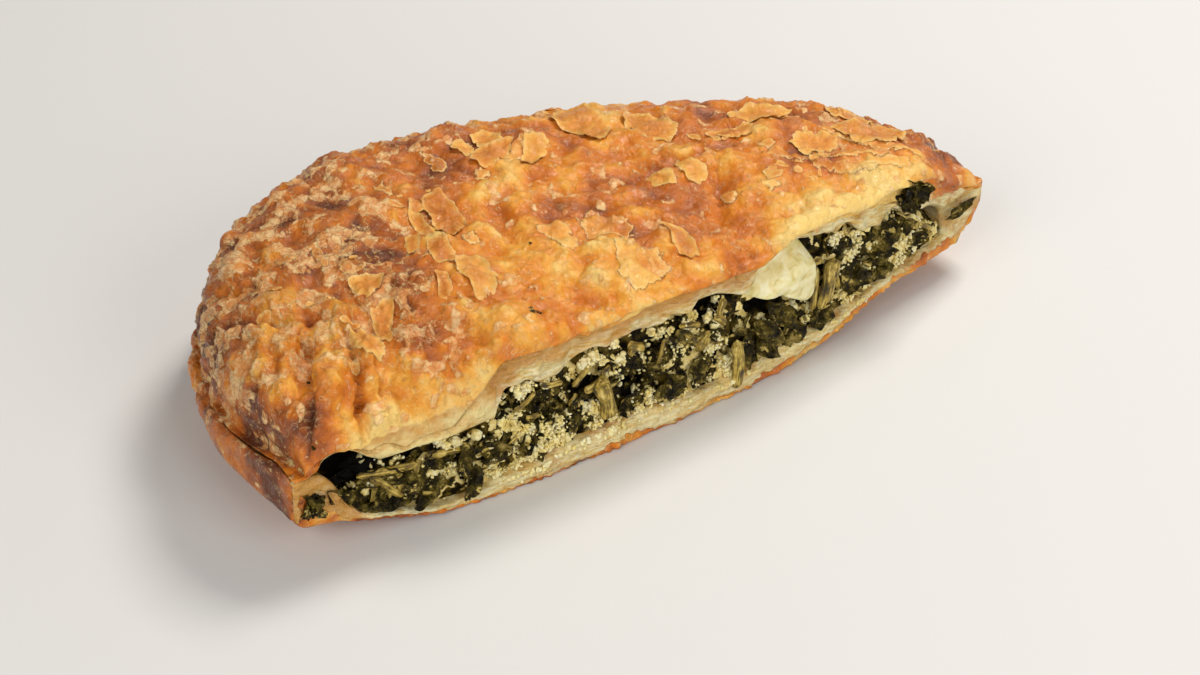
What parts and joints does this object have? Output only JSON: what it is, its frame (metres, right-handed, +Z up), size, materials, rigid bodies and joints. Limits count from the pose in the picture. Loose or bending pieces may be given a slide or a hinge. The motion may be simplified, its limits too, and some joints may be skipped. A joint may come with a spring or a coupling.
{
  "type": "half of a round puff pastry pie with spinach and cheese",
  "caption": "Half of a savoury puff pastry pie, cut straight across, with a puffed flaky top, a sealed rim and a spinach and cheese filling showing along the cut.",
  "frame": {"origin": "centre of the bounding box in plan, at the height of the surface the pie lies on", "axes": "+X along the cut from its left corner to its right tip, +Y from the cut back to the curved rim, +Z up"},
  "size_m": [0.231, 0.1226, 0.0498],
  "materials": {
    "baked_crust": "egg-glazed puff pastry, golden brown with darker brown patches and pale flakes",
    "spinach_and_cheese": "moist chopped spinach with pale crumbs of cheese",
    "spinach": "cooked spinach leaf, nearly black green"
  },
  "bodies": {
    "root": {"pastry": "baked_crust", "filling": "spinach_and_cheese", "spinach_tuft": "spinach", "corner_spinach": "spinach"}
  },
  "joints": []
}
